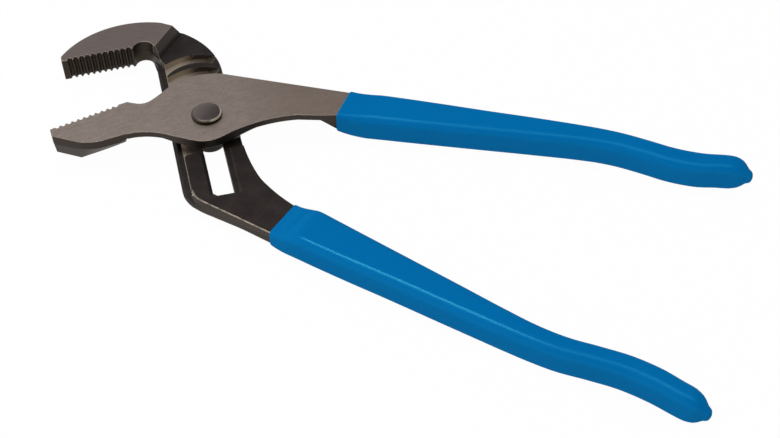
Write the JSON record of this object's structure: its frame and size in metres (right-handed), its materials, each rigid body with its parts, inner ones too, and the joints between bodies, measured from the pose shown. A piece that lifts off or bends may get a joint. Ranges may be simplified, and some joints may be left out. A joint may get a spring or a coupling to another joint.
{
  "type": "tongue-and-groove pliers",
  "caption": "Tongue-and-groove pliers with straight toothed jaws, a sliding pivot in a grooved neck and dipped vinyl grips, shown partly open.",
  "frame": {"origin": "on the pivot bolt's axis, at the nut's outer face", "axes": "+Y along the neck's slot towards the upper jaw, +Z along the bolt out of the front face, +X towards the handles' side"},
  "size_m": [0.2424, 0.2314, 0.0161],
  "materials": {
    "dark_forging": "dark forged scale, ground on the jaw's face",
    "ground_steel": "surface-ground along the handle",
    "bolt_steel": "turned, with a bright rim",
    "nut_steel": "dark turned steel",
    "grip_vinyl": "glossy dipped vinyl"
  },
  "bodies": {
    "back_half": {"groove_half": "dark_forging", "lower_grip": "grip_vinyl"},
    "pivot": {"pivot_bolt": "bolt_steel", "pivot_nut": "nut_steel"},
    "front_half": {"tongue_half": "ground_steel", "upper_grip": "grip_vinyl"}
  },
  "joints": [
    {"name": "jaw_slide", "type": "slide", "parent": "back_half", "child": "pivot", "axis": [0, 1, 0], "range_m": [-0.02355, 0.02355]},
    {"name": "jaw_hinge", "type": "hinge", "parent": "pivot", "child": "front_half", "pos_m": [0, 0, 0], "axis": [0, 0, 1], "range_deg": [-15, 45]}
  ]
}
